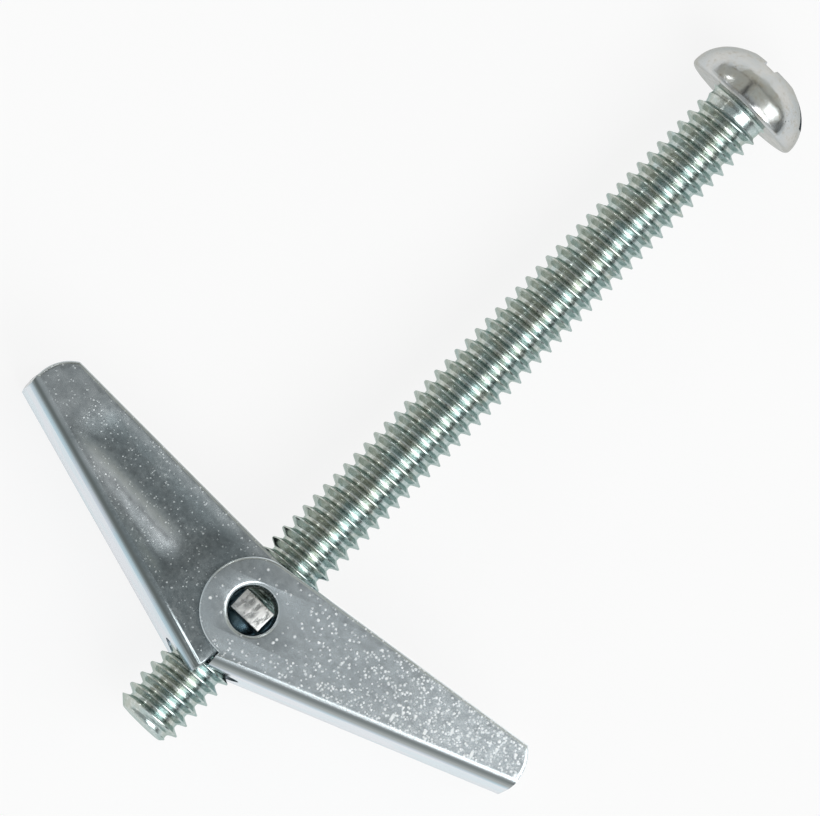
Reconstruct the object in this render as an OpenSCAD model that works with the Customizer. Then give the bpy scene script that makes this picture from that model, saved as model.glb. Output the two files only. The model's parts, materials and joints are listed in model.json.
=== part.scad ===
// Spring-wing toggle anchor: a fully threaded machine screw, a stamped trunnion nut that runs on it,
// two sheet-steel wings hinged on the nut's tenons, and the torsion spring that throws them open.
// Origin: centre of the head's bearing face. +Y runs from the tip to the head along the screw,
// +Z runs along the hinge line of the wings, +X points at the right-hand wing. Units are millimetres.

/* [Screw] */
// Length from the bearing face of the head to the tip
screw_len = 75; // [74:1:90]
// Diameter over the thread crests
thread_d = 6.2; // [6.1:0.05:6.25]
// Diameter at the bottom of the thread grooves
root_d = 4.75; // [4.6:0.05:4.9]
// Distance between neighbouring crests
pitch = 1.27; // [1.25:0.01:1.3]
// Width of the flat on each crest
crest_flat = 0.15; // [0.1:0.01:0.2]
// Plain neck under the head
neck_len = 1.0; // [0.9:0.05:1.5]

/* [Head] */
// Diameter of the head
head_d = 11.5; // [11:0.1:12]
// Height of the domed head
head_h = 4.45; // [4.2:0.05:4.7]
// Height of the short straight rim below the dome
rim_h = 0.5; // [0.4:0.05:0.9]
// Radius of the shallow dish that the drive recess leaves in the crown
dish_r = 2.4; // [2.2:0.05:2.6]
// Depth of the dish
dish_depth = 0.2; // [0.1:0.05:0.3]
// Width of the screwdriver slot
slot_w = 1.6; // [1.4:0.05:1.8]
// Height of the slot's floor above the bearing face
slot_floor = 2.2; // [2:0.1:2.6]
// Span of the cross recess from arm tip to arm tip
cross_span = 6.7; // [6:0.1:7]
// Width of one arm of the cross recess
cross_w = 1.25; // [1.1:0.05:1.4]
// Height of the cross recess's floor above the bearing face
cross_floor = 1.7; // [1.5:0.1:2.1]
// Turn of the slot about the screw axis, from the X axis towards +Z
drive_turn = 12.5; // [0:0.5:90]

/* [Nut] */
// Distance from the bearing face to the hinge line
hinge_y = 61.7; // [55:0.1:66]
// Thickness of the nut plate and of its tenons, along the screw
plate_t = 2.15; // [2:0.05:2.3]
// Diameter of the round middle of the nut plate
plate_d = 8.6; // [8.4:0.05:8.7]
// Span of the nut plate between its two shoulders
shoulder_span = 7.9; // [7.7:0.05:7.9]
// Width of each tenon, across the screw
tenon_w = 3.3; // [3:0.05:3.4]
// Depth that each tenon's end sits below the outer cheek
tenon_recess = 0.15; // [0.1:0.05:0.4]
// Diameter of the drawn collar
collar_d = 7.8; // [7.6:0.05:7.8]
// Length of the drawn collar beyond the plate, towards the tip
collar_len = 1.5; // [1.2:0.05:1.5]
// Gap between the screw's crests and the nut's bore, on the radius
thread_gap = 0.05; // [0.02:0.01:0.1]

/* [Wings] */
// Half of the width over both outer cheeks
half_w = 7.2; // [7.2:0.05:7.6]
// Thickness of the wing sheet
sheet_t = 1; // [0.9:0.05:1]
// Gap between cheeks that lie on each other
cheek_gap = 0.1; // [0.08:0.01:0.15]
// Radius of the round ear, which is also the free edge's distance from the hinge line
ear_r = 4.7; // [4.6:0.05:4.8]
// Diameter of the pivot hole in each ear
pivot_d = 4.3; // [4.2:0.05:4.4]
// Outside radius of the two bends
bend_r = 1.15; // [1.1:0.05:1.2]
// Radius of the notch that clears the screw
notch_r = 3.6; // [3.5:0.05:3.8]
// Distance from the hinge line to the centre of the rounded tip
tip_u = 23.3; // [20:0.1:24]
// Radius of the rounded tip
tip_r = 3.9; // [3.8:0.1:4]

/* [Wing positions] */
// Angle of the left wing's web above the line across the screw
turn_a = 16.3; // [16.3:0.1:30]
// Angle of the right wing's web above the line across the screw
turn_b = 21.8; // [21.8:0.1:35]
// Angle between the left wing's web and its free edges
wedge_a = 15.5; // [15:0.1:16]
// Angle between the right wing's web and its free edges
wedge_b = 13.7; // [13:0.1:14]
// Distance from the hinge line to the outside of the left wing's web
web_a = 7.2; // [7.1:0.05:7.25]
// Distance from the hinge line to the outside of the right wing's web
web_b = 5.85; // [5.8:0.05:5.9]

/* [Spring] */
// Diameter of the spring wire
wire_d = 0.5; // [0.4:0.05:0.5]
// Inside radius of the coils, round the tenons
coil_in_r = 2.05; // [2.02:0.01:2.1]
// Reach of the legs along the webs
leg_reach = 9; // [7:0.5:11]

/* [Hidden] */
$fn = 64;
eps = 0.01;

crest_r = thread_d / 2;
root_r = root_d / 2;
flank_w = (crest_r - root_r) * tan(30);
tip_plain = 0.3;
ring_count = floor((screw_len - neck_len - tip_plain) / pitch);
neck_r = 2.75;
first_crest_r = 2.8;
last_crest_r = 2.95;
dome_a = head_d / 2;
dome_end = acos(dish_r / dome_a);
dome_b = (head_h - rim_h) / sin(dome_end);
dome_steps = 14;
pocket_r = 1.45;
pocket_bottom = 1.1;

inner_face = half_w - 2 * sheet_t - cheek_gap;
wing_high = half_w;
wing_low = half_w - sheet_t - cheek_gap;
reach = 30;
tab_a_near = -1.9;
tab_a_far = -2.7;
tab_b_near = -1.75;
tab_b_far = -2.05;
tip_rise = 2.2;
inner_bend_r = 0.3;

spring_gap = 0.05;
wire_r = wire_d / 2;
leg_r = wire_r - 0.02;
coil_r = coil_in_r + wire_r;
coil_low = shoulder_span / 2 + spring_gap;
coil_high = inner_face - spring_gap;

// Radius of the ring crest with the given number, counted from the tip
function crest_at(k) = k == 0 ? first_crest_r : k == ring_count - 1 ? last_crest_r : crest_r;

// Four corners of one thread ring, from its tip side to its head side
function ring_points(k) =
    let (mid = -screw_len + tip_plain + pitch * (k + 0.5))
    let (half_top = crest_flat / 2, half_base = half_top + flank_w)
    [[root_r, mid - half_base], [crest_at(k), mid - half_top],
     [crest_at(k), mid + half_top], [root_r, mid + half_base]];

// Points of the elliptical dome, from the rim to the edge of the dish
dome_points = [for (i = [0:dome_steps])
    let (a = dome_end * i / dome_steps)
    [dome_a * cos(a), rim_h + dome_b * sin(a)]];

// Height of a wing's free edge over the web direction, at distance u from the hinge line
function edge_v(u, wedge) = (ear_r - u * sin(wedge)) / cos(wedge);

// Place across a wing of the wire's centre where it lies on the inside of that wing's web
function press_v(web) = -web + sheet_t + wire_r + spring_gap;

// Turns a shape that was drawn upright so that its +Z runs along the screw, towards the head
module along_screw() {
    rotate([-90, 0, 0]) children();
}

// Cylinder with its axis along the screw, between two positions
module screw_cylinder(r, y_low, y_high) {
    translate([0, y_low, 0]) along_screw() cylinder(r = r, h = y_high - y_low);
}

// Straight round wire from one point to another
module wire(from, to, r) {
    step = to - from;
    len = norm(step);
    turn = atan2(step[1], step[0]);
    tilt = acos(step[2] / len);
    translate(from) rotate([0, tilt, turn]) cylinder(r = r, h = len);
}

// Slot and cross recess, cut down from the crown
module drive_recess() {
    top = head_h + 1;
    rotate([0, -drive_turn, 0]) {
        translate([-dome_a - 1, slot_floor, -slot_w / 2])
            cube([2 * dome_a + 2, top - slot_floor, slot_w]);
        translate([-cross_span / 2, cross_floor, -cross_w / 2])
            cube([cross_span, top - cross_floor, cross_w]);
        translate([-cross_w / 2, cross_floor, -cross_span / 2])
            cube([cross_w, top - cross_floor, cross_span]);
    }
    screw_cylinder(pocket_r, cross_floor, top);
    translate([0, pocket_bottom, 0])
        along_screw() cylinder(r1 = 0.1, r2 = pocket_r, h = cross_floor - pocket_bottom + eps);
}

module machine_screw() {
    tip_points = [[0, -screw_len], [root_r - 0.2, -screw_len]];
    neck_points = [[neck_r, -neck_len + 0.2], [neck_r, -0.2], [neck_r + 0.2, 0], [dome_a - 0.25, 0],
                   [dome_a, 0.25]];
    dish_points = [[pocket_r, head_h - dish_depth], [0, head_h - dish_depth]];
    rings = [for (k = [0:ring_count - 1]) each ring_points(k)];
    color("lightsteelblue") difference() {
        along_screw() rotate_extrude($fn = 96)
            polygon(concat(tip_points, rings, neck_points, dome_points, dish_points));
        drive_recess();
    }
}

module trunnion_nut() {
    tenon_len = 2 * (half_w - tenon_recess);
    collar_end = -hinge_y - plate_t / 2 - collar_len;
    color("lightgray") difference() {
        union() {
            intersection() {
                screw_cylinder(plate_d / 2, -hinge_y - plate_t / 2, -hinge_y + plate_t / 2);
                translate([0, -hinge_y, 0]) cube([reach, plate_t, shoulder_span], center = true);
            }
            translate([0, -hinge_y, 0]) cube([tenon_w, plate_t, tenon_len], center = true);
            screw_cylinder(collar_d / 2, collar_end, -hinge_y);
        }
        screw_cylinder(crest_r + thread_gap, collar_end - 1, -hinge_y + plate_t);
    }
}

// Flat outline of a wing in its own directions: u along the web, v from the web to the free edge
module wing_outline(web, wedge, tab_end) {
    circle(r = ear_r);
    intersection() {
        polygon([[tab_end, -web], [reach, -web], [reach, edge_v(reach, wedge)],
                 [ear_r * sin(wedge), ear_r * cos(wedge)], [0, 0]]);
        union() {
            translate([-reach, -reach]) square([reach + tip_u, 2 * reach]);
            translate([tip_u, tip_rise - web]) circle(r = tip_r);
        }
    }
}

// Section across a wing with two round corners of radius r, open away from the web; x is v and y is z
module bend_section(web, r, z_low, z_high) {
    translate([-web + r, z_low]) square([reach, z_high - z_low]);
    translate([-web, z_low + r]) square([reach, z_high - z_low - 2 * r]);
    for (z = [z_low + r, z_high - r])
        translate([-web + r, z]) circle(r = r);
}

// The same section drawn out along the whole wing
module bent_block(web, r, z_low, z_high) {
    translate([-reach, 0, 0]) rotate([90, 0, 90])
        linear_extrude(height = 3 * reach) bend_section(web, r, z_low, z_high);
}

// Channel-shaped wing about its own hinge line, with its web along u
module channel_wing(web, wedge, z_low, z_high, tab_near, tab_far) {
    difference() {
        intersection() {
            union() {
                linear_extrude(height = z_high) wing_outline(web, wedge, tab_near);
                translate([0, 0, z_low]) linear_extrude(height = -z_low) wing_outline(web, wedge, tab_far);
            }
            bent_block(web, bend_r, z_low, z_high);
        }
        bent_block(web - sheet_t, inner_bend_r, z_low + sheet_t, z_high - sheet_t);
        translate([0, 0, z_low - 1]) cylinder(d = pivot_d, h = z_high - z_low + 2);
    }
}

// Left-hand wing: its upper cheek lies inside the other wing's, its lower cheek outside
module wing_a() {
    color("silver") difference() {
        translate([0, -hinge_y, 0]) mirror([1, 0, 0]) rotate([0, 0, turn_a])
            channel_wing(web_a, wedge_a, -wing_high, wing_low, tab_a_near, tab_a_far);
        screw_cylinder(notch_r, -hinge_y - 2 * web_a, -hinge_y);
    }
}

// Right-hand wing: its upper cheek lies outside the other wing's, its lower cheek inside
module wing_b() {
    color("gainsboro") difference() {
        translate([0, -hinge_y, 0]) rotate([0, 0, turn_b])
            channel_wing(web_b, wedge_b, -wing_low, wing_high, tab_b_near, tab_b_far);
        screw_cylinder(notch_r, -hinge_y - 2 * web_a, -hinge_y);
    }
}

// Leg from its tangent point on a coil to where it presses on a web
module spring_leg(web, z) {
    press = [leg_reach, press_v(web), z];
    from_hinge = norm([press[0], press[1]]);
    start_a = atan2(press[1], press[0]) - acos(coil_r / from_hinge);
    wire([coil_r * cos(start_a), coil_r * sin(start_a), z], press, leg_r);
}

// Double torsion spring: a coil round each tenon, two legs on the right-hand wing's web,
// and two legs joined by a cross bar on the left-hand wing's web
module torsion_spring() {
    z_inner = coil_low + wire_r;
    z_outer = coil_high - wire_r;
    bar_half = z_inner + wire_r;
    color("darkgray") translate([0, -hinge_y, 0]) {
        for (side = [-1, 1]) {
            translate([0, 0, side > 0 ? coil_low : -coil_high])
                difference() {
                    cylinder(r = coil_in_r + wire_d, h = coil_high - coil_low);
                    translate([0, 0, -1]) cylinder(r = coil_in_r, h = coil_high - coil_low + 2);
                }
            rotate([0, 0, turn_b]) spring_leg(web_b, side * z_outer);
            mirror([1, 0, 0]) rotate([0, 0, turn_a]) spring_leg(web_a, side * z_inner);
        }
        mirror([1, 0, 0]) rotate([0, 0, turn_a])
            wire([leg_reach, press_v(web_a), -bar_half], [leg_reach, press_v(web_a), bar_half], wire_r);
    }
}

machine_screw();
trunnion_nut();
wing_a();
wing_b();
torsion_spring();
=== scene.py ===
"""Looks of a spring-wing toggle anchor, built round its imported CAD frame.

The object's lengths are in millimetres, and MM turns them into metres. The camera, the floor and the
lights are in metres. The row frame has its origin at the centre of the head's bearing face, +Y along the
screw towards the head, +Z along the hinge line and +X towards the right-hand wing.
"""
import json
import math

import bmesh
import bpy
from mathutils import Matrix, Vector


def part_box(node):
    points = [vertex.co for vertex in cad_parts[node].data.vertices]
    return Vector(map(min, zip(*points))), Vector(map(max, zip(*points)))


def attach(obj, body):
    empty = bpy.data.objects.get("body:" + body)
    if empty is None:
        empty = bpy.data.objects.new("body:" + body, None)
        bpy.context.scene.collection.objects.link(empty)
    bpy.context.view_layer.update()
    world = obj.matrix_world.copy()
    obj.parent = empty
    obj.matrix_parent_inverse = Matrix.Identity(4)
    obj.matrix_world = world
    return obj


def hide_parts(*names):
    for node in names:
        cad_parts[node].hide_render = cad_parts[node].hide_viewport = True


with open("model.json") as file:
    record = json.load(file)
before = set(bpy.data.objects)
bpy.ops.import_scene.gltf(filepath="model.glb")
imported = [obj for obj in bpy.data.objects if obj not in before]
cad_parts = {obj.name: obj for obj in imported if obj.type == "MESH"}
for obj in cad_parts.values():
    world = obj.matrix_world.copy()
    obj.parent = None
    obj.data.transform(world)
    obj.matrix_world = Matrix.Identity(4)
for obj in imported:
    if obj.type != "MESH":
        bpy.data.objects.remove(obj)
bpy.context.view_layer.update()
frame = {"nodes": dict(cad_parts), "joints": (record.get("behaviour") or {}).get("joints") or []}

MM = 0.001
TURN = 2 * math.pi


def node_size(node):
    low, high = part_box(node)
    return (high - low) / MM


def joint_named(name):
    return next(j for j in frame["joints"] if j["name"] == name)


# ---------------------------------------------------------------- sizes, in millimetres
# screw: thread, neck, head and drive recess
screw_low, screw_high = (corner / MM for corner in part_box("machine_screw"))
SCREW_TIP = screw_low.y
HEAD_TOP = screw_high.y
HEAD_R = node_size("machine_screw").x / 2
CREST_R = 3.1
ROOT_R = 2.375
PITCH = 1.27
THREAD_START = SCREW_TIP + 0.3
NECK_R = 2.75
NECK_Y = -0.45
GROOVE_FADE_Y = -2.6
CREST_FADE_Y = -1.5
TIP_R = 2.2
TIP_SLOPE = 1.05
RIM_H = 0.5
RIM_ROUND = 0.42
DISH_R = 2.4
DISH_DEPTH = 0.2
DOME_END = math.acos(DISH_R / HEAD_R)
DOME_H = (HEAD_TOP - RIM_H) / math.sin(DOME_END)
DRIVE_TURN = math.radians(12.5)
SLOT_W = 1.6
SLOT_FLOOR = 2.2
CROSS_SPAN = 6.7
CROSS_W = 1.25
CROSS_FLOOR = 1.7
WALL_CENTRE = 1.89
POCKET_R = 1.42
POCKET_BOTTOM = 1.1

# nut: plate, collar, tenons and tapped sleeve
HINGE_Y = joint_named("left_wing_hinge")["pos_m"][1] / MM
PLATE_T = 2.15
COLLAR_LEN = 1.5
NUT_CREST_R = 2.52
TAP_GAP = 0.1
TAP_OVERRUN = 1.5
SLEEVE_R = 3.5
SLEEVE_LIP_R = 3.13
SLEEVE_LEAD = 0.45
SLEEVE_INSET = 0.13
TENON_ENDS = 6.9
TENON_ROUND = 0.2
EDGE_ROUND = 0.1

# wings: A on the left and B on the right
TURN_A = math.radians(16.3)
TURN_B = math.radians(21.8)
WEB_A = 7.2
WEB_B = 5.85
PIVOT_R = 2.15
SHEET_T = 1.0
BEND_R = 1.15
INNER_BEND_R = 0.3
PIVOT_ROUND = 0.42
CHEEK_ROUND = 0.3
CHEEK_GRID = 0.6
CHEEK_FROM = 5.2
CHEEK_TO = 27.0
CHEEK_FREE = 3.2
BEND_CLEAR = 1.2
HOLLOW_FROM = 5.4
WING_LAYERS = ("sparkle", "crest", "outer_web", "band", "bend", "stroke")

# spring
WIRE_R = 0.25
COIL_WIRE_R = WIRE_R - 0.01
LEG_WIRE_R = WIRE_R - 0.015
BOW_CORNER = 0.7
COIL_R = 2.3
COIL_LOW = 4.0
COIL_HIGH = 5.05
LEG_REACH = 9.0
PRESS_GAP = 0.05


# ---------------------------------------------------------------- mesh helpers
def along_screw(radius, angle, y):
    """Point at a radius and angle about the screw, at position y along it."""
    return Vector((radius * math.sin(angle), y, radius * math.cos(angle)))


def smooth_step(low, high, x):
    t = min(1.0, max(0.0, (x - low) / (high - low)))
    return t * t * (3 - 2 * t)


def mesh_piece(name, bm, materials, body, sharp_deg=32.0):
    """Turns a bmesh in millimetres into a finished piece in metres that rides on a body."""
    outward(bm)
    bmesh.ops.scale(bm, vec=(MM, MM, MM), verts=bm.verts)
    mesh = bpy.data.meshes.new(name)
    bm.to_mesh(mesh)
    bm.free()
    mesh.polygons.foreach_set("use_smooth", [True] * len(mesh.polygons))
    mesh.set_sharp_from_angle(angle=math.radians(sharp_deg))
    for material in materials:
        mesh.materials.append(material)
    piece = bpy.data.objects.new(name, mesh)
    bpy.context.scene.collection.objects.link(piece)
    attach(piece, body)
    return piece


def outward(bm):
    """Turns every face of a closed mesh outwards."""
    bm.normal_update()
    bmesh.ops.recalc_face_normals(bm, faces=bm.faces)
    if bm.calc_volume(signed=True) < 0:
        bmesh.ops.reverse_faces(bm, faces=bm.faces)
    bm.normal_update()


def mend(bm):
    """Drops slivers that the cuts left behind and closes the pinholes between them."""
    bmesh.ops.dissolve_degenerate(bm, dist=0.001, edges=bm.edges)
    bmesh.ops.holes_fill(bm, edges=[e for e in bm.edges if e.is_boundary], sides=12)


def temp_object(name, bm):
    mesh = bpy.data.meshes.new(name)
    bm.to_mesh(mesh)
    bm.free()
    made = bpy.data.objects.new(name, mesh)
    bpy.context.scene.collection.objects.link(made)
    return made


def cut(bm, cutters, operation="DIFFERENCE"):
    """The bmesh after a boolean with each of the cutter bmeshes in turn."""
    body = temp_object("cut_body", bm)
    for cutter_bm in cutters:
        outward(cutter_bm)
        cutter = temp_object("cutter", cutter_bm)
        change = body.modifiers.new("cut", "BOOLEAN")
        change.operation = operation
        change.solver = "EXACT"
        change.object = cutter
        bpy.context.view_layer.update()
        changed = bpy.data.meshes.new_from_object(body.evaluated_get(bpy.context.evaluated_depsgraph_get()))
        body.modifiers.clear()
        body.data = changed
        bpy.data.objects.remove(cutter)
    result = bmesh.new()
    result.from_mesh(body.data)
    bpy.data.objects.remove(body)
    return result


def arc(centre, radius, start_deg, end_deg, steps):
    """Points on an arc in a plane, for example (radius, y) in the half plane through the screw axis."""
    angles = [math.radians(start_deg + (end_deg - start_deg) * i / steps) for i in range(steps + 1)]
    return [(centre[0] + radius * math.cos(a), centre[1] + radius * math.sin(a)) for a in angles]


def prism(low_outline, high_outline, low, high, place):
    """Solid between two outlines with as many points; place maps (a, b, height) to a point."""
    bm = bmesh.new()
    bottom = [bm.verts.new(place(a, b, low)) for a, b in low_outline]
    top = [bm.verts.new(place(a, b, high)) for a, b in high_outline]
    bm.faces.new(bottom)
    bm.faces.new(top[::-1])
    for i in range(len(bottom)):
        j = (i + 1) % len(bottom)
        bm.faces.new((bottom[i], bottom[j], top[j], top[i]))
    return bm


def ring_solid(section, columns):
    """Closed ring swept from a closed section of (radius, y) points about the screw axis."""
    bm = bmesh.new()
    rings = []
    for radius, y in section:
        rings.append([bm.verts.new(along_screw(radius, TURN * i / columns, y)) for i in range(columns)])
    for k, low in enumerate(rings):
        high = rings[(k + 1) % len(rings)]
        for i in range(columns):
            j = (i + 1) % columns
            bm.faces.new((low[i], low[j], high[j], high[i]))
    return bm


def add_wire(bm, points, radius, sides):
    """Round wire along a list of points, with rounded ends."""
    count = len(points)
    tangents = [(points[min(i + 1, count - 1)] - points[max(i - 1, 0)]).normalized() for i in range(count)]
    circle = [(math.cos(TURN * k / sides), math.sin(TURN * k / sides)) for k in range(sides)]
    caps = [(share, 0.6 * radius * math.sqrt(1 - share ** 2)) for share in (0.25, 0.6, 0.85, 0.97)]
    side = tangents[0].orthogonal().normalized()
    rings = []

    def ring(centre, tangent, r):
        across = tangent.cross(side).normalized()
        rings.append([bm.verts.new(centre + r * (side * c + across * s)) for c, s in circle])

    for share, reach in caps:
        ring(points[0] - tangents[0] * reach, tangents[0], radius * share)
    for point, tangent in zip(points, tangents):
        side = (side - tangent * side.dot(tangent)).normalized()
        ring(point, tangent, radius)
    for share, reach in reversed(caps):
        ring(points[-1] + tangents[-1] * reach, tangents[-1], radius * share)
    for low, high in zip(rings, rings[1:]):
        for k in range(sides):
            n = (k + 1) % sides
            bm.faces.new((low[k], low[n], high[n], high[k]))
    bm.faces.new(rings[0][::-1])
    bm.faces.new(rings[-1])


def wires(lines, radius, sides=20):
    """One bmesh with a round wire along each list of points."""
    bm = bmesh.new()
    for points in lines:
        add_wire(bm, points, radius, sides)
    return bm


# ---------------------------------------------------------------- thread
def thread_profile(crest_r, root_r):
    """Shares of one pitch and the radius at each, from root to root: a rolled crest and a round groove."""
    rise = ((0.52, 0.0), (0.45, 0.04), (0.38, 0.16), (0.30, 0.36), (0.20, 0.62), (0.11, 0.88), (0.065, 0.975))
    up = [(0.5 - d / PITCH, root_r + share * (crest_r - root_r)) for d, share in rise]
    down = [(1 - place, radius) for place, radius in reversed(up)]
    return [(0.0, root_r)] + up + [(0.5, crest_r)] + down


def thread_surface(y_low, y_high, crest_r, root_r, columns, shape):
    """Open right-hand helical surface cut flat at both ends. shape(y, radius) changes the radius along it."""
    profile = thread_profile(crest_r, root_r)
    first = math.floor((y_low - THREAD_START) / PITCH) - 2
    last = math.ceil((y_high - THREAD_START) / PITCH) + 1
    bm = bmesh.new()
    grid = []
    for i in range(columns):
        angle = TURN * i / columns
        column = []
        for k in range(first, last + 1):
            for share, radius in profile:
                y = THREAD_START + PITCH * (k + share + i / columns)
                column.append(bm.verts.new(along_screw(shape(y, radius), angle, y)))
        grid.append(column)
    rows = len(grid[0])
    for i in range(columns):
        shift = len(profile) if i == columns - 1 else 0
        right = grid[(i + 1) % columns]
        for m in range(rows - 1 - shift):
            bm.faces.new((grid[i][m], right[m + shift], right[m + shift + 1], grid[i][m + 1]))
    for y, normal in ((y_low, (0, -1, 0)), (y_high, (0, 1, 0))):
        geom = bm.verts[:] + bm.edges[:] + bm.faces[:]
        bmesh.ops.bisect_plane(bm, geom=geom, dist=1e-5, plane_co=(0, y, 0), plane_no=normal,
                               clear_outer=True)
    bmesh.ops.remove_doubles(bm, verts=bm.verts, dist=0.004)
    return bm


def end_loop(bm, y):
    """Open boundary vertices at position y, in order round the axis."""
    edges = [e for e in bm.edges if e.is_boundary and all(abs(v.co.y - y) < 0.01 for v in e.verts)]
    verts = {v for e in edges for v in e.verts}
    return sorted(verts, key=lambda v: math.atan2(v.co.x, v.co.z) % TURN)


def lathe_on(bm, loop, points):
    """Carries on from an open loop through profile points (radius, y); the last one lies on the axis."""
    angles = [math.atan2(v.co.x, v.co.z) for v in loop]
    count = len(loop)
    rings = [loop]
    for radius, y in points[:-1]:
        rings.append([bm.verts.new(along_screw(radius, a, y)) for a in angles])
    for low, high in zip(rings, rings[1:]):
        for i in range(count):
            j = (i + 1) % count
            bm.faces.new((low[i], low[j], high[j], high[i]))
    end = bm.verts.new((0, points[-1][1], 0))
    for i in range(count):
        bm.faces.new((end, rings[-1][i], rings[-1][(i + 1) % count]))


# ---------------------------------------------------------------- screw
def screw_shape(y, radius):
    """Chamfered first thread at the tip, and grooves that run out into the neck."""
    tip_cone = TIP_R + TIP_SLOPE * (y - SCREW_TIP)
    fade_from = GROOVE_FADE_Y if radius < NECK_R else CREST_FADE_Y
    radius += (NECK_R - radius) * smooth_step(fade_from, NECK_Y - 0.05, y)
    return min(radius, max(tip_cone, 0.5))


def head_profile():
    """Points (radius, y) from the neck under the head, round its rim and dome, to the middle of the dish."""
    fillet = 0.3
    points = [(NECK_R, -fillet - 0.05)]
    points += arc((NECK_R + fillet, -fillet), fillet, 180, 90, 5)
    points += [(3.6, 0), (4.4, 0), (5.1, 0)]
    points += arc((HEAD_R - RIM_ROUND, RIM_ROUND), RIM_ROUND, -90, 0, 4)
    steps = 40
    for i in range(steps):
        a = DOME_END * (i / steps) ** 0.9
        points.append((HEAD_R * math.cos(a), RIM_H + DOME_H * math.sin(a)))
    edge = 0.14
    points += [(DISH_R + edge, HEAD_TOP - 0.045), (DISH_R + 0.03, HEAD_TOP - 0.012),
               (DISH_R - 0.07, HEAD_TOP - 0.012), (DISH_R - edge, HEAD_TOP - 0.04),
               (DISH_R - 0.35, HEAD_TOP - 0.5 * DISH_DEPTH)]
    points += [(1.7, HEAD_TOP - DISH_DEPTH), (1.2, HEAD_TOP - DISH_DEPTH - 0.02)]
    points += [(radius, HEAD_TOP - DISH_DEPTH) for radius in (0.7, 0.3, 0)]
    return points


def drive_place(a, b, height):
    """Drive directions to the row frame: a along the slot, b across it."""
    c, s = math.cos(DRIVE_TURN), math.sin(DRIVE_TURN)
    return Vector((a * c - b * s, height, a * s + b * c))


def cross_outline(span, width):
    """Outline of the cross recess: four arms whose side walls curve into each other."""
    half, w = span / 2, width / 2
    arm = [(half, -w), (half, w)] + arc((WALL_CENTRE, WALL_CENTRE), WALL_CENTRE - w, 270, 180, 8)[1:-1]
    points = []
    for quarter in range(4):
        c, s = math.cos(quarter * TURN / 4), math.sin(quarter * TURN / 4)
        points += [(a * c - b * s, a * s + b * c) for a, b in arm]
    return points


def drive_cutters():
    """Slot, cross recess and the pointed pocket in the middle of the cross."""
    above = HEAD_TOP + 1
    w = SLOT_W / 2
    outline = [(-HEAD_R - 1, -w), (HEAD_R + 1, -w), (HEAD_R + 1, w), (-HEAD_R - 1, w)]
    slot = prism(outline, outline, SLOT_FLOOR, above, drive_place)
    cross = prism(cross_outline(CROSS_SPAN - 1.9, CROSS_W - 0.15),
                  cross_outline(CROSS_SPAN + 0.5, CROSS_W + 0.06), CROSS_FLOOR, above, drive_place)
    sides = 8
    corners = arc((0, 0), POCKET_R, 180 / sides, 180 / sides + 360, sides)[:-1]
    pocket = bmesh.new()
    point = pocket.verts.new(drive_place(0, 0, POCKET_BOTTOM))
    low, high = ([pocket.verts.new(drive_place(a, b, height)) for a, b in corners]
                 for height in (CROSS_FLOOR - 0.02, CROSS_FLOOR + 0.6))
    for i in range(sides):
        j = (i + 1) % sides
        pocket.faces.new((point, low[j], low[i]))
        pocket.faces.new((low[i], low[j], high[j], high[i]))
    pocket.faces.new(high)
    return [slot, cross, pocket]


def head_surface(radius):
    """Height of the head's outer surface at a radius, as if it had no recess."""
    if radius < DISH_R:
        return HEAD_TOP - DISH_DEPTH
    if radius < HEAD_R:
        return min(HEAD_TOP, RIM_H + DOME_H * math.sqrt(1 - (radius / HEAD_R) ** 2))
    return HEAD_TOP


def screw_material(face):
    """Number of a face's material: 0 on the thread, 1 on the head, 2 in the recess, 3 on the slot's floor."""
    centre = face.calc_center_median()
    if centre.y < 0:
        return 0
    if centre.y < POCKET_BOTTOM or centre.y > head_surface(math.hypot(centre.x, centre.z)) - 0.05:
        return 1
    return 3 if abs(centre.y - SLOT_FLOOR) < 0.02 else 2


def make_screw(materials):
    bm = thread_surface(SCREW_TIP, NECK_Y, CREST_R, ROOT_R, 96, screw_shape)
    tip = end_loop(bm, SCREW_TIP)
    tip_r = math.hypot(tip[0].co.x, tip[0].co.z)
    lathe_on(bm, tip, [(tip_r - 0.1, SCREW_TIP), (tip_r * 0.6, SCREW_TIP + 0.03),
                       (tip_r * 0.3, SCREW_TIP + 0.05), (0, SCREW_TIP + 0.05)])
    lathe_on(bm, end_loop(bm, NECK_Y), head_profile())
    bmesh.ops.recalc_face_normals(bm, faces=bm.faces)
    bm = cut(bm, drive_cutters())
    for face in bm.faces:
        face.material_index = screw_material(face)
    screw = mesh_piece("machine_screw_detail", bm, materials, "screw", 34)
    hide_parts("machine_screw")
    return screw


# ---------------------------------------------------------------- copies of CAD nodes
def cad_copy(node, flat_deg=1.0):
    """CAD node's mesh in millimetres, with its flat faces whole again."""
    bm = bmesh.new()
    bm.from_mesh(frame["nodes"][node].data)
    bmesh.ops.scale(bm, vec=(1 / MM, 1 / MM, 1 / MM), verts=bm.verts)
    bmesh.ops.remove_doubles(bm, verts=bm.verts, dist=0.002)
    bmesh.ops.dissolve_limit(bm, angle_limit=math.radians(flat_deg), verts=bm.verts, edges=bm.edges)
    return bm


def bevel_edges(bm, choose, width, segments=3, clamp=True):
    """Rounds the edges that choose(edge) picks."""
    edges = [e for e in bm.edges if len(e.link_faces) == 2 and choose(e)]
    bmesh.ops.bevel(bm, geom=edges, offset=width, offset_type="OFFSET", segments=segments, profile=0.5,
                    affect="EDGES", clamp_overlap=clamp, material=-1)


def is_corner(edge):
    return math.degrees(edge.calc_face_angle(0.0)) > 60


def is_convex_corner(edge):
    return is_corner(edge) and edge.is_convex


def on_face(edge, heights):
    """True for an edge that lies in the outer face of either cheek."""
    return any(all(abs(v.co.z - z) < 0.01 for v in edge.verts) for z in heights)


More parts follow.
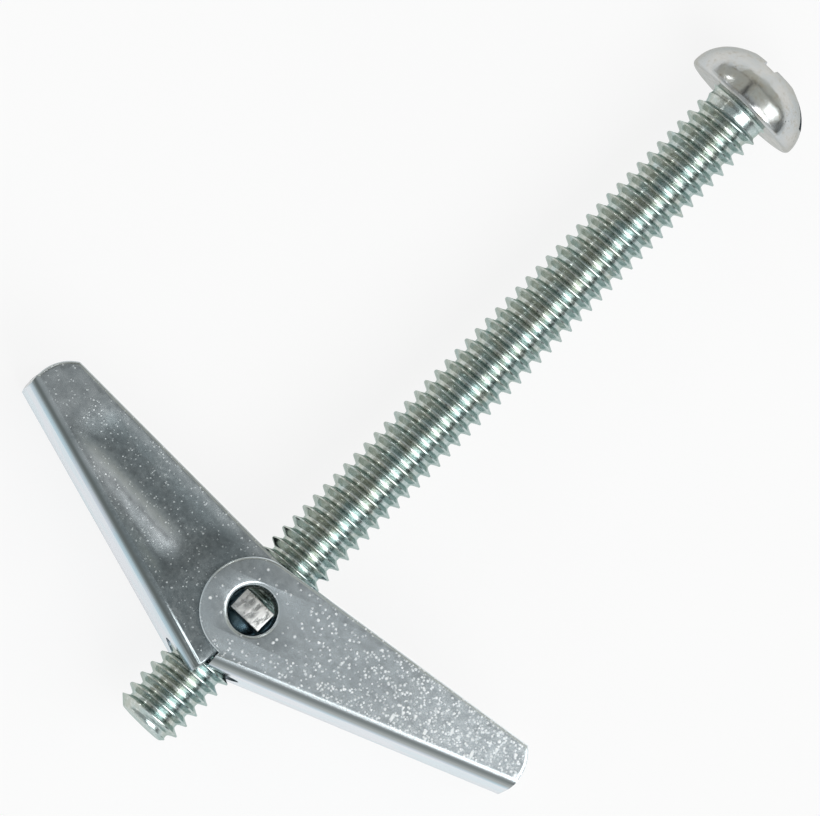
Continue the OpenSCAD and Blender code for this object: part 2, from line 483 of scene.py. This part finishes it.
def on_pivot(edge):
    """True for an edge round the pivot hole, in a wing's own directions."""
    return all(abs(math.hypot(v.co.x, v.co.y) - PIVOT_R) < 0.03 for v in edge.verts)


# ---------------------------------------------------------------- nut
def on_tenon_end(edge):
    return all(abs(v.co.z) > TENON_ENDS for v in edge.verts)


def make_nut(materials):
    bm = cad_copy("trunnion_nut")
    for vert in bm.verts:
        vert.co.y -= HINGE_Y
    outward(bm)
    bevel_edges(bm, lambda e: is_convex_corner(e) and on_tenon_end(e), TENON_ROUND, 4)
    bevel_edges(bm, is_convex_corner, EDGE_ROUND)
    face_y, collar_y = PLATE_T / 2, -PLATE_T / 2 - COLLAR_LEN
    sleeve = [(SLEEVE_R, collar_y + SLEEVE_LEAD), (SLEEVE_LIP_R, collar_y + SLEEVE_INSET),
              (NUT_CREST_R, collar_y + SLEEVE_LEAD), (NUT_CREST_R, face_y - SLEEVE_LEAD),
              (SLEEVE_LIP_R, face_y - SLEEVE_INSET), (SLEEVE_R, face_y - SLEEVE_LEAD)]
    bm = cut(bm, [ring_solid(sleeve, 90)], "UNION")
    for vert in bm.verts:
        vert.co.y += HINGE_Y
    ends = (HINGE_Y + collar_y - TAP_OVERRUN, HINGE_Y + face_y + TAP_OVERRUN)
    tap = thread_surface(*ends, CREST_R + TAP_GAP, ROOT_R + TAP_GAP, 96, lambda y, radius: radius)
    for y in ends:
        lathe_on(tap, end_loop(tap, y), [(1.0, y), (0, y)])
    bm = cut(bm, [tap])
    for face in bm.faces:
        centre = face.calc_center_median()
        if abs(centre.z) > TENON_ENDS:
            face.material_index = 1
        elif math.hypot(centre.x, centre.z) < CREST_R + 0.3:
            face.material_index = 2
    nut = mesh_piece("trunnion_nut_detail", bm, materials, "toggle_nut")
    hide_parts("trunnion_nut")
    return nut


# ---------------------------------------------------------------- wings
def wing_frame(turn, mirrored):
    """Matrix from a wing's own directions (along the web, across it, along the hinge) to the row frame."""
    flip = Matrix.Diagonal((-1 if mirrored else 1, 1, 1, 1))
    return Matrix.Translation((0, HINGE_Y, 0)) @ flip @ Matrix.Rotation(turn, 4, "Z")


def grid_cut(bm, axis, low, high, step):
    """Cuts every face along evenly spaced planes, so that the sheet can be bent a little."""
    normal = [0, 0, 0]
    normal[axis] = 1
    count = int((high - low) / step)
    for i in range(count + 1):
        place = [0, 0, 0]
        place[axis] = low + i * step
        geom = bm.verts[:] + bm.edges[:] + bm.faces[:]
        bmesh.ops.bisect_plane(bm, geom=geom, dist=1e-4, plane_co=place, plane_no=normal)


def make_wing(name, node, body, turn, mirrored, web, tab, hollow_depth, sparkle_at, ridge_highlight_at, material):
    """Wing with rolled outer edges, from its CAD node.

    u runs along the web from the hinge, v across it from the web's side to the free edge, and z along the
    hinge. sparkle_at gives the share of pale specks, which partly stand for painted glints, and the function
    after it gives the share of a painted highlight on a ridge, which also keeps the hollow shallow there,
    both at a place (u, v) on its cheeks.
    """
    to_row = wing_frame(turn, mirrored)
    bm = cad_copy(node)
    bm.transform(to_row.inverted())
    outward(bm)
    heights = [v.co.z for v in bm.verts]
    outer = (min(heights), max(heights))
    bevel_edges(bm, lambda e: is_corner(e) and on_face(e, outer) and on_pivot(e), PIVOT_ROUND, 6, clamp=False)
    bevel_edges(bm, lambda e: is_corner(e) and on_face(e, outer), CHEEK_ROUND, 5, clamp=False)
    bevel_edges(bm, is_corner, EDGE_ROUND)
    if tab:
        bm = cut(bm, [tab], "UNION")
    grid_cut(bm, 0, CHEEK_FROM, CHEEK_TO, CHEEK_GRID)
    grid_cut(bm, 1, -web + BEND_CLEAR, CHEEK_FREE, CHEEK_GRID)
    bm.verts.layers.float_vector.new("local")
    for layer in WING_LAYERS:
        bm.verts.layers.float.new(layer)
    local = bm.verts.layers.float_vector["local"]
    sparkle, crest, outer_web, band, bend, stroke = (bm.verts.layers.float[layer] for layer in WING_LAYERS)
    for vert in bm.verts:
        u, v, z = vert.co
        vert[local] = (u, v, z)
        # Shares that the material reads: sparkle for pale specks, partly painted glints; crest for a painted
        # highlight; outer_web for the web's painted bluish reflection; band for the bend's painted olive
        # shade; bend for rougher metal at the bend; stroke for the dents.
        vert[sparkle] = sparkle_at(u, v)
        vert[crest] = ridge_highlight_at(u, v)
        vert[outer_web] = 1 - smooth_step(-web + 0.03, -web + (0.5 if mirrored else 0.22), v)
        vert[band] = 1 - smooth_step(-web + 0.6, -web + 0.9, v)
        vert[bend] = 1 - smooth_step(-web + 0.85, -web + 1.3, v)
        vert[stroke] = 0.0 if mirrored else stroke_share(u, v + web)
        if hollow_depth and z > 2.5 and u > HOLLOW_FROM and v > -web + BEND_CLEAR:
            vert.co.z -= hollow_depth * (1 - ridge_highlight_at(u, v)) * cheek_share(u, v)
    mend(bm)
    bm.transform(to_row)
    wing = mesh_piece(name, bm, [material], body)
    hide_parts(node)
    return wing


def left_tab():
    """Extra length of the left wing's near tab, which reaches almost to the other wing's web."""
    z_face, z_end, v_end = 6.1, 3.75, -3.85
    bend = arc((-WEB_A + BEND_R, z_face - BEND_R), BEND_R, 90, 180, 6)
    inner_middle = (-WEB_A + SHEET_T + INNER_BEND_R, z_face - SHEET_T - INNER_BEND_R)
    section = [(v_end, z_face)] + bend + [(-WEB_A, z_end), (-WEB_A + SHEET_T, z_end)]
    section += arc(inner_middle, INNER_BEND_R, 180, 90, 4) + [(v_end, z_face - SHEET_T)]

    def place(v, z, end):
        """Slanted at the tab's tip, where end is 0, and square inside the wing, where end is 1."""
        return Vector((-0.6 * end + (0.104 * v - 1.3) * (1 - end), v, z))

    bm = prism(section, section, 0.0, 1.0, place)
    outward(bm)
    bevel_edges(bm, lambda e: is_corner(e) and all(v.co.x < -1.2 for v in e.verts), 0.2, 4, clamp=False)
    return bm


def from_free_edge(u, v):
    """How far a place on the left wing's cheek is from its sloping free edge."""
    return 4.877 - 0.277 * u - v


def cheek_share(u, v):
    """1 in the middle of the left wing's cheek and 0 at its bend, its free edge, its ear and its tip."""
    across = smooth_step(0.3, 1.8, from_free_edge(u, v)) * smooth_step(0.0, 1.0, v + WEB_A - BEND_CLEAR)
    return across * smooth_step(HOLLOW_FROM, 8.5, u) * (1 - smooth_step(19.0, 23.0, u))


def stroke_share(u, from_web):
    """1 in the strip beside the bend where a wing has small bright dents."""
    return smooth_step(1.1, 1.6, from_web) * (1 - smooth_step(2.6, 3.2, from_web)) * smooth_step(10, 14, u)


def left_ridge_highlight(u, v):
    """Painted highlight along a ridge that runs slantwise on the left wing's cheek, and lighter colour
    towards its free edge and tip.
    """
    ridge = math.exp(-((v + 0.233 * u + 1.3) / 0.95) ** 2)
    ridge *= smooth_step(6.5, 10, u) * (1 - smooth_step(17.5, 22, u))
    edge = 0.5 * smooth_step(1.6, 0.3, from_free_edge(u, v))
    tip = 0.5 * smooth_step(19.5, 23.5, u)
    return max(ridge, edge, tip)


# ---------------------------------------------------------------- spring
def leg_start(web):
    """Angle of a leg's tangent point on the coil, and where the leg presses, in its wing's own directions."""
    press = Vector((LEG_REACH, -web + SHEET_T + WIRE_R + PRESS_GAP))
    return math.atan2(press.y, press.x) - math.acos(COIL_R / press.length), press


def coil_points(side):
    """Centre line of the coil round one tenon, from the left leg to the right leg."""
    start_a, _ = leg_start(WEB_A)
    end_a, _ = leg_start(WEB_B)
    first = math.pi - (start_a + TURN_A)
    last = end_a + TURN_B
    while last < first + 1.3 * TURN:
        last += TURN
    steps = 110
    low, high = COIL_LOW + WIRE_R, COIL_HIGH - WIRE_R
    points = []
    for i in range(steps + 1):
        a = first + (last - first) * i / steps
        z = low + (high - low) * i / steps
        points.append(Vector((COIL_R * math.cos(a), HINGE_Y + COIL_R * math.sin(a), side * z)))
    return points


def leg_line(web, z):
    """Leg from the coil to the web, in its wing's own directions."""
    start_a, press = leg_start(web)
    start = Vector((COIL_R * math.cos(start_a), COIL_R * math.sin(start_a), z))
    end = Vector((press.x, press.y, z))
    return [start.lerp(end, i / 16) for i in range(17)]


def rounded(corners, radius):
    """Points along a bent line whose inner corners are rounded."""
    first = [corners[0].lerp(corners[1], i / 14) for i in range(14)]
    last = [corners[-2].lerp(corners[-1], i / 14) for i in range(1, 15)]
    points = [p for p in first if (p - corners[1]).length > radius]
    for before, corner, after in zip(corners, corners[1:], corners[2:]):
        start = corner + (before - corner).normalized() * radius
        end = corner + (after - corner).normalized() * radius
        for i in range(9):
            t = i / 8
            points.append(start.lerp(corner, t).lerp(corner.lerp(end, t), t))
        if after is not corners[-1]:
            far = after + (corner - after).normalized() * radius
            points += [end.lerp(far, i / 10) for i in range(1, 10)]
    return points + [p for p in last if (p - corners[-2]).length > radius]


def make_spring(material):
    """Two coils on the nut, two straight legs in the right wing and a bow in the left one."""
    low, high = COIL_LOW + WIRE_R, COIL_HIGH - WIRE_R
    both = wires([coil_points(1), coil_points(-1)], COIL_WIRE_R)
    coils = mesh_piece("spring_coils", both, [material], "toggle_nut", 50)
    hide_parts("torsion_spring")
    right = wing_frame(TURN_B, False)
    for side, name in ((1, "spring_leg_near"), (-1, "spring_leg_far")):
        leg = [right @ p for p in leg_line(WEB_B, side * high)]
        mesh_piece(name, wires([leg], LEG_WIRE_R), [material], "right_wing", 50)
    left = wing_frame(TURN_A, True)
    near, far = leg_line(WEB_A, low), leg_line(WEB_A, -low)
    bow = [left @ p for p in rounded([near[0], near[-1], far[-1], far[0]], BOW_CORNER)]
    mesh_piece("spring_bow", wires([bow], LEG_WIRE_R), [material], "left_wing", 50)


# ---------------------------------------------------------------- materials
class Nodes:
    """Small builder for a node tree."""

    def __init__(self, tree):
        self.tree = tree

    def node(self, kind, **settings):
        made = self.tree.nodes.new(kind)
        for key, value in settings.items():
            setattr(made, key, value)
        return made

    def link(self, source, target):
        self.tree.links.new(source, target)

    def math(self, operation, a, b=None, clamp=False):
        made = self.node("ShaderNodeMath", operation=operation, use_clamp=clamp)
        for socket, value in zip(made.inputs, (a, b)):
            if value is None:
                continue
            if isinstance(value, (int, float)):
                socket.default_value = value
            else:
                self.link(value, socket)
        return made.outputs[0]

    def ranged(self, value, low, high, to_low=0.0, to_high=1.0):
        made = self.node("ShaderNodeMapRange", interpolation_type="SMOOTHSTEP")
        self.link(value, made.inputs["Value"])
        for key, number in (("From Min", low), ("From Max", high), ("To Min", to_low), ("To Max", to_high)):
            made.inputs[key].default_value = number
        return made.outputs["Result"]

    def mix(self, factor, a, b):
        made = self.node("ShaderNodeMix", data_type="RGBA")
        self.link(factor, made.inputs["Factor"])
        for socket, value in ((made.inputs[6], a), (made.inputs[7], b)):
            if isinstance(value, tuple):
                socket.default_value = (*value, 1)
            else:
                self.link(value, socket)
        return made.outputs[2]

    def mix_value(self, factor, a, b):
        made = self.node("ShaderNodeMix", data_type="FLOAT")
        self.link(factor, made.inputs["Factor"])
        for socket, value in ((made.inputs[2], a), (made.inputs[3], b)):
            if isinstance(value, (int, float)):
                socket.default_value = value
            else:
                self.link(value, socket)
        return made.outputs[0]


class Shader(Nodes):
    """One material. Texture sizes are in millimetres."""

    def __init__(self, name, base, rough):
        self.material = bpy.data.materials.new(name)
        self.material.use_nodes = True
        super().__init__(self.material.node_tree)
        self.shader = self.tree.nodes["Principled BSDF"]
        self.shader.inputs["Metallic"].default_value = 1.0
        self.shader.inputs["Base Color"].default_value = (*base, 1)
        self.shader.inputs["Roughness"].default_value = rough
        self.place = self.scaled(self.node("ShaderNodeTexCoord").outputs["Object"], 1 / MM)
        self.colour = None
        self.rough = None
        self.normal = None

    def scaled(self, vector, factor):
        made = self.node("ShaderNodeVectorMath", operation="SCALE")
        self.link(vector, made.inputs[0])
        made.inputs["Scale"].default_value = factor
        return made.outputs[0]

    def stretched(self, vector, scale):
        made = self.node("ShaderNodeVectorMath", operation="MULTIPLY")
        self.link(vector, made.inputs[0])
        made.inputs[1].default_value = scale
        return made.outputs[0]

    def attribute(self, name, output="Fac"):
        return self.node("ShaderNodeAttribute", attribute_name=name).outputs[output]

    def noise(self, scale, detail=3.0, vector=None, rough=0.55):
        made = self.node("ShaderNodeTexNoise")
        self.link(vector or self.place, made.inputs["Vector"])
        made.inputs["Scale"].default_value = scale
        made.inputs["Detail"].default_value = detail
        made.inputs["Roughness"].default_value = rough
        return made.outputs["Fac"]

    def voronoi(self, scale, vector=None):
        made = self.node("ShaderNodeTexVoronoi")
        self.link(vector or self.place, made.inputs["Vector"])
        made.inputs["Scale"].default_value = scale
        return made

    def bump(self, height, depth, strength=1.0):
        """Adds relief: depth is in millimetres for a height of 1."""
        made = self.node("ShaderNodeBump")
        self.link(height, made.inputs["Height"])
        made.inputs["Distance"].default_value = depth * MM
        made.inputs["Strength"].default_value = strength
        if self.normal:
            self.link(self.normal, made.inputs["Normal"])
        self.normal = made.outputs[0]

    def done(self):
        if self.colour:
            self.link(self.colour, self.shader.inputs["Base Color"])
        if self.rough:
            self.link(self.rough, self.shader.inputs["Roughness"])
        if self.normal:
            self.link(self.normal, self.shader.inputs["Normal"])
        return self.material


TEAL = (0.47, 0.56, 0.55)
OLIVE = (0.51, 0.54, 0.49)
PALE = (0.80, 0.84, 0.84)
BLUE = (0.54, 0.61, 0.66)
GREY = (0.71, 0.76, 0.77)
DARK = (0.30, 0.33, 0.35)


def thread_zinc():
    s = Shader("zinc_thread", TEAL, 0.2)
    s.shader.inputs["Specular Tint"].default_value = (0.62, 0.70, 0.68, 1)
    side = s.node("ShaderNodeSeparateXYZ")
    s.link(s.place, side.inputs[0])
    # Patches lean olive towards -X and teal towards +X: a painted reflection of warm surroundings on the left
    # and cool ones on the right.
    reflection_lean = s.math("MULTIPLY", side.outputs["X"], -0.05)
    patches = s.ranged(s.math("ADD", s.noise(0.55, 2), reflection_lean), 0.36, 0.64)
    grain = s.ranged(s.noise(3.2, 3), 0.42, 0.78, 0.0, 0.6)
    s.colour = s.mix(grain, s.mix(patches, TEAL, OLIVE), PALE)
    s.rough = s.ranged(s.noise(1.8, 3), 0.3, 0.7, 0.14, 0.28)
    s.bump(s.noise(2.4, 3), 0.012, 0.5)
    return s.done()


def head_zinc():
    s = Shader("zinc_head", PALE, 0.16)
    s.shader.inputs["Specular Tint"].default_value = (0.64, 0.65, 0.63, 1)
    patches = s.ranged(s.noise(0.4, 3), 0.35, 0.65)
    tone = s.mix(patches, (0.56, 0.59, 0.60), (0.62, 0.62, 0.60))
    stains = s.ranged(s.noise(1.6, 5, rough=0.7), 0.5, 0.7, 0.0, 0.65)
    tone = s.mix(stains, tone, (0.47, 0.45, 0.40))
    pits = s.voronoi(2.0)
    pit = s.ranged(pits.outputs["Distance"], 0.06, 0.24, 1.0, 0.0)
    some = s.ranged(s.noise(0.9, 1), 0.5, 0.62, 0.0, 0.6)
    pit = s.math("MULTIPLY", pit, some)
    s.colour = s.mix(pit, tone, DARK)
    s.rough = s.ranged(s.noise(1.3, 4), 0.3, 0.7, 0.14, 0.26)
    s.bump(s.noise(0.45, 2), 0.14, 0.5)
    s.bump(s.noise(6.0, 3), 0.006, 0.4)
    s.bump(pit, -0.02, 0.7)
    return s.done()


def recess_zinc():
    s = Shader("zinc_recess", BLUE, 0.22)
    patches = s.ranged(s.noise(0.9, 3), 0.35, 0.65)
    s.colour = s.mix(patches, (0.33, 0.38, 0.42), (0.45, 0.46, 0.48))
    s.rough = s.ranged(s.noise(3.0, 3), 0.3, 0.7, 0.16, 0.34)
    s.bump(s.noise(3.0, 3), 0.012, 0.5)
    return s.done()


def slot_zinc():
    s = Shader("zinc_slot_floor", GREY, 0.3)
    scuffs = s.ranged(s.noise(2.6, 5, rough=0.7), 0.5, 0.6)
    s.colour = s.mix(scuffs, (0.42, 0.45, 0.43), PALE)
    s.rough = s.ranged(s.noise(3.2, 4), 0.3, 0.7, 0.2, 0.45)
    s.bump(scuffs, 0.03, 0.6)
    return s.done()


def random_cells(s, scale, vector):
    """Distance from the centre of the nearest cell, and two random numbers that belong to the cell."""
    cells = s.voronoi(scale, vector)
    chance = s.node("ShaderNodeSeparateColor")
    s.link(cells.outputs["Color"], chance.inputs[0])
    return cells.outputs["Distance"], chance.outputs[0], chance.outputs[1]


def specks(s, sparkle, layers):
    """Pale specks in layers of (cells to a millimetre, share of cells, size); sparkle scales the share. The
    specks are partly the zinc's own pale grains and partly painted glints.
    """
    warp = s.node("ShaderNodeTexNoise")
    s.link(s.place, warp.inputs["Vector"])
    warp.inputs["Scale"].default_value = 2.0
    warped = s.node("ShaderNodeVectorMath", operation="MULTIPLY_ADD")
    s.link(warp.outputs["Color"], warped.inputs[0])
    warped.inputs[1].default_value = (0.16, 0.16, 0.16)
    s.link(s.place, warped.inputs[2])
    speck_glint_marks = None
    for scale, share, size in layers:
        distance, chance, tone = random_cells(s, scale, warped.outputs[0])
        chosen = s.math("GREATER_THAN", s.math("MULTIPLY", sparkle, share), chance)
        strength = s.math("MULTIPLY", chosen, s.ranged(tone, 0.0, 1.0, 0.5, 1.0))
        spot = s.math("MULTIPLY", s.ranged(distance, 0.08, size, 1.0, 0.0), strength)
        speck_glint_marks = spot if speck_glint_marks is None else s.math("MAXIMUM", speck_glint_marks, spot)
    return speck_glint_marks


def dents(s):
    """Short bright dents that lie across the strip where the stroke attribute is 1."""
    distance, chance = random_cells(s, 1.0, s.stretched(s.attribute("local", "Vector"), (1.7, 0.6, 0.0)))[:2]
    chosen = s.math("GREATER_THAN", s.math("MULTIPLY", s.attribute("stroke"), 0.65), chance)
    return s.math("MULTIPLY", chosen, s.ranged(distance, 0.1, 0.36, 1.0, 0.0))


def wing_zinc(name, base, tint, light, contrast, grain, speck_layers):
    """Speckled zinc: base and tint in patches; pale specks, partly painted glints; light, a painted
    highlight, where crest is 1; painted olive shade on the bend; and a bluish strip on the web, a painted
    reflection.
    """
    s = Shader(name, base, 0.25)
    sparkle = s.attribute("sparkle")
    flat = s.math("SUBTRACT", 1.0, s.attribute("bend"))
    # Pale mottle where sparkle is high, towards the right wing's tip: painted sheen.
    sheen_mottle = s.math("MULTIPLY", s.ranged(s.noise(3.4, 3), 0.35, 0.8), s.ranged(sparkle, 0.5, 1.0, 0.0, 0.3))
    speck_glint_marks = s.math("MAXIMUM", s.math("MAXIMUM", specks(s, sparkle, speck_layers), dents(s)), sheen_mottle)
    speck_glint_marks = s.math("MULTIPLY", speck_glint_marks, flat)
    dull = tuple(0.85 * b for b in base)
    # Darker olive for the bend where band is 1: painted shade on the bend's curve.
    bend_shade = tuple(0.48 * b + 0.2 * o for b, o in zip(base, OLIVE))
    tone = s.mix(s.ranged(s.noise(0.35, 3), 0.35, 0.65), base, tint)
    tone = s.mix(s.ranged(s.noise(3.2, 3), 0.3, 0.7, 0.0, grain), tone, dull)
    # Colour light where crest is 1: painted highlight along the left wing's ridge and at the right wing's
    # tip.
    edge_noise = s.ranged(s.noise(0.8, 3), 0.3, 0.7, 0.75, 1.05)
    tone = s.mix(s.math("MULTIPLY", s.attribute("crest"), edge_noise, clamp=True), tone, light)
    # Specks and dents turn almost white with less metal: partly their own pale colour, partly painted glints.
    face = s.mix(s.math("MULTIPLY", speck_glint_marks, contrast), tone, (0.95, 0.97, 0.98))
    # Bluish strip on the web's outer face: painted reflection of the bright surroundings.
    strip = s.mix(s.ranged(s.noise(0.16, 2), 0.4, 0.6), (0.46, 0.61, 0.69), (0.56, 0.62, 0.69))
    s.colour = s.mix(s.attribute("outer_web"), s.mix(s.attribute("band"), face, bend_shade), strip)
    metal = s.math("SUBTRACT", 1.0, s.math("MULTIPLY", speck_glint_marks, 0.9 * contrast))
    s.link(metal, s.shader.inputs["Metallic"])
    plain = s.ranged(s.noise(1.5, 4), 0.3, 0.7, 0.2, 0.26)
    s.rough = s.mix_value(s.attribute("bend"), s.mix_value(speck_glint_marks, plain, 0.42), 0.19)
    s.bump(s.noise(0.35, 2), 0.012, 0.5)
    s.bump(s.math("MULTIPLY", s.noise(3.5, 3), flat), 0.008, 0.5)
    s.bump(speck_glint_marks, 0.008, 0.7)
    return s.done()


def nut_zinc():
    s = Shader("zinc_nut_plate_painted_shade", GREY, 0.28)
    # Very dark base: painted shade for the plate inside the wings, which also keeps the key light's highlight
    # off it.
    s.colour = s.mix(s.ranged(s.noise(0.8, 4), 0.35, 0.65), (0.10, 0.17, 0.21), (0.17, 0.25, 0.29))
    s.rough = s.ranged(s.noise(2.2, 4), 0.3, 0.7, 0.2, 0.4)
    s.bump(s.noise(3.0, 4), 0.02, 0.6)
    return s.done()


def sheared_zinc():
    s = Shader("zinc_sheared_end", PALE, 0.32)
    lines = s.noise(1.0, 3, s.stretched(s.place, (2.2, 1.1, 1.0)))
    s.colour = s.mix(s.ranged(lines, 0.4, 0.62), (0.56, 0.57, 0.56), (0.76, 0.76, 0.75))
    s.rough = s.ranged(lines, 0.3, 0.7, 0.2, 0.42)
    s.bump(lines, 0.06, 0.7)
    return s.done()


def spring_steel():
    s = Shader("drawn_wire", DARK, 0.3)
    s.colour = s.mix(s.ranged(s.noise(2.0, 4), 0.35, 0.65), (0.34, 0.35, 0.36), (0.52, 0.52, 0.52))
    s.rough = s.ranged(s.noise(5.0, 4), 0.3, 0.7, 0.2, 0.38)
    s.bump(s.noise(7.0, 3), 0.01, 0.5)
    return s.done()


def floor_paint():
    s = Shader("pale_floor", (0.93, 0.93, 0.93), 0.9)
    s.shader.inputs["Metallic"].default_value = 0.0
    s.shader.inputs["Specular IOR Level"].default_value = 0.1
    s.colour = s.mix(s.ranged(s.noise(0.02, 2), 0.4, 0.6), (0.118, 0.118, 0.118), (0.124, 0.124, 0.124))
    s.shader.inputs["Emission Color"].default_value = (1, 1, 1, 1)
    s.shader.inputs["Emission Strength"].default_value = FLOOR_GLOW
    return s.done()


# ---------------------------------------------------------------- camera, floor and light
LEAN = Vector((-0.018, -0.084, 0))
ROLL = math.radians(44.26)
AIM = Vector((-2.35, -38.9, 0)) * MM
FRAME_WIDTH = 71.5 * MM
LENS = 1400.0
SENSOR = 36.0
FLOOR_GLOW = 0.85
FLOOR_SIZE = 1.6
LIGHT_DISTANCE = 0.6


def make_camera():
    data = bpy.data.cameras.new("camera")
    data.lens = LENS
    data.sensor_width = SENSOR
    distance = FRAME_WIDTH * LENS / SENSOR
    back = (LEAN + Vector((0, 0, 1))).normalized()
    screw_axis = Vector((0, 1, 0))
    along = (screw_axis - back * back.dot(screw_axis)).normalized()
    across = along.cross(back)
    up = math.cos(ROLL) * along - math.sin(ROLL) * across
    right = math.sin(ROLL) * along + math.cos(ROLL) * across
    camera = bpy.data.objects.new("camera", data)
    turn = Matrix((right, up, back)).transposed()
    camera.matrix_world = Matrix.Translation(AIM + back * distance) @ turn.to_4x4()
    data.clip_start = 0.01
    data.clip_end = 10
    bpy.context.scene.collection.objects.link(camera)
    bpy.context.scene.camera = camera


def make_floor():
    """Pale plane that the left wing's lower cheek and the head's rim rest on."""
    wing_low, wing_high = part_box("wing_a")
    rest_y, rest_z = wing_high.y, wing_low.z
    rim_y, rim_z = 0.25 * MM, -HEAD_R * MM
    tilt = math.atan2(rim_z - rest_z, rim_y - rest_y)
    bm = bmesh.new()
    bmesh.ops.create_grid(bm, x_segments=8, y_segments=8, size=FLOOR_SIZE / 2)
    mesh = bpy.data.meshes.new("floor")
    bm.to_mesh(mesh)
    bm.free()
    mesh.materials.append(floor_paint())
    floor = bpy.data.objects.new("floor", mesh)
    gap = 0.02 * MM
    floor.matrix_world = Matrix.Translation((0, rest_y, rest_z - gap)) @ Matrix.Rotation(tilt, 4, "X")
    bpy.context.scene.collection.objects.link(floor)


def softbox(name, azimuth, tilt, width, length, radiance):
    """Area light that faces the wings. azimuth, from +X towards +Y, and tilt off +Z are in degrees."""
    a, t = math.radians(azimuth), math.radians(tilt)
    towards = Vector((math.cos(a) * math.sin(t), math.sin(a) * math.sin(t), math.cos(t)))
    data = bpy.data.lights.new(name, "AREA")
    data.shape = "RECTANGLE"
    data.size = width
    data.size_y = length
    data.energy = radiance * math.pi * width * length
    light = bpy.data.objects.new(name, data)
    x_side = Vector((0, 1, 0)).cross(towards).normalized()
    y_side = towards.cross(x_side)
    turn = Matrix((x_side, y_side, towards)).transposed().to_4x4()
    light.matrix_world = Matrix.Translation(AIM + towards * LIGHT_DISTANCE) @ turn
    light.visible_camera = False
    bpy.context.scene.collection.objects.link(light)


def make_lights():
    softbox("key_right", -10, 36, 0.42, 0.42, 3.5)
    softbox("key_near", -42, 15.5, 0.08, 0.09, 2.6)
    softbox("window_small", 156, 56, 0.09, 0.09, 3.4)
    softbox("left_low", 182, 50, 0.05, 0.25, 1.0)


def make_world():
    """Grey studio sky, pale at the horizon, with a dark-framed window and grey walls for the reflections."""
    world = bpy.data.worlds.new("studio")
    bpy.context.scene.world = world
    world.use_nodes = True
    sky = Nodes(world.node_tree)
    split = sky.node("ShaderNodeSeparateXYZ")
    sky.link(sky.node("ShaderNodeTexCoord").outputs["Generated"], split.inputs[0])
    x, y, z = split.outputs
    spread = sky.math("MAXIMUM", sky.math("ADD", z, 1.0), 0.3)
    across, along = sky.math("DIVIDE", x, spread), sky.math("DIVIDE", y, spread)

    def frame_share(centre, half):
        """0 at the middle of a rectangle on the sky and 1 on its edges."""
        from_x = sky.math("DIVIDE", sky.math("ABSOLUTE", sky.math("SUBTRACT", across, centre[0])), half[0])
        from_y = sky.math("DIVIDE", sky.math("ABSOLUTE", sky.math("SUBTRACT", along, centre[1])), half[1])
        return sky.math("MAXIMUM", from_x, from_y)

    def border(share, width):
        """1 on the edges of that rectangle and 0 away from them."""
        return sky.ranged(sky.math("ABSOLUTE", sky.math("SUBTRACT", share, 1.0)), 0.0, width, 1.0, 0.0)

    colour = sky.mix(sky.ranged(z, 0.0, 0.6), (0.80, 0.82, 0.82), (0.43, 0.45, 0.455))
    bar = sky.ranged(frame_share((0.79, 0.05), (0.11, 0.5)), 0.7, 1.1, 1.0, 0.0)
    colour = sky.mix(bar, colour, (0.16, 0.17, 0.17))
    wall = sky.ranged(frame_share((0.12, 0.55), (0.62, 0.40)), 0.85, 1.05, 1.0, 0.0)
    colour = sky.mix(wall, colour, (0.52, 0.52, 0.47))
    left_wall = sky.ranged(frame_share((-0.52, 0.30), (0.36, 0.30)), 0.8, 1.05, 1.0, 0.0)
    colour = sky.mix(left_wall, colour, (0.46, 0.46, 0.42))
    left_border = border(frame_share((-0.52, 0.30), (0.36, 0.27)), 0.16)
    colour = sky.mix(sky.math("MULTIPLY", left_border, 0.8), colour, (0.12, 0.11, 0.10))
    window = frame_share((0.28, 0.34), (0.40, 0.27))
    colour = sky.mix(border(window, 0.17), colour, (0.06, 0.06, 0.06))
    pane = sky.ranged(frame_share((0.42, 0.31), (0.17, 0.17)), 0.8, 1.02, 1.0, 0.0)
    colour = sky.mix(pane, colour, (2.2, 2.25, 2.25))
    sky.link(colour, world.node_tree.nodes["Background"].inputs[0])


bpy.context.scene.view_settings.view_transform = "Standard"
make_screw([thread_zinc(), head_zinc(), recess_zinc(), slot_zinc()])
make_nut([nut_zinc(), sheared_zinc(), thread_zinc()])
# Left wing: a much darker base than the right wing's zinc, painted shade under the right wing's ear, and a
# painted highlight along its ridge.
make_wing("wing_a_detail", "wing_a", "left_wing", TURN_A, True, WEB_A, left_tab(), 0.2,
          lambda u, v: 0.16, left_ridge_highlight,
          wing_zinc("zinc_wing_left_painted_shade", (0.30, 0.345, 0.36), (0.38, 0.42, 0.43), (0.78, 0.82, 0.84), 0.4, 0.9,
                    ((3.0, 1.0, 0.36), (4.2, 1.3, 0.42))))
# Right wing: pale specks, partly painted glints, grow denser towards the tip and the bend, and its crest
# colour, a painted highlight, is lighter beyond the ear and lightest at the tip.
make_wing("wing_b_detail", "wing_b", "right_wing", TURN_B, False, WEB_B, None, 0.0,
          lambda u, v: 0.07 + 0.72 * smooth_step(0, 20, u) + 0.22 * smooth_step(-2.2, -5.2, v),
          lambda u, v: 0.42 * smooth_step(-1, 6, u) + 0.55 * smooth_step(12, 24, u),
          wing_zinc("zinc_wing_right", (0.59, 0.64, 0.66), (0.61, 0.67, 0.70), (0.86, 0.93, 0.97), 1.0, 0.35,
                    ((2.1, 0.55, 0.40), (3.3, 1.1, 0.5))))
make_spring(spring_steel())
make_camera()
make_floor()
make_lights()
make_world()
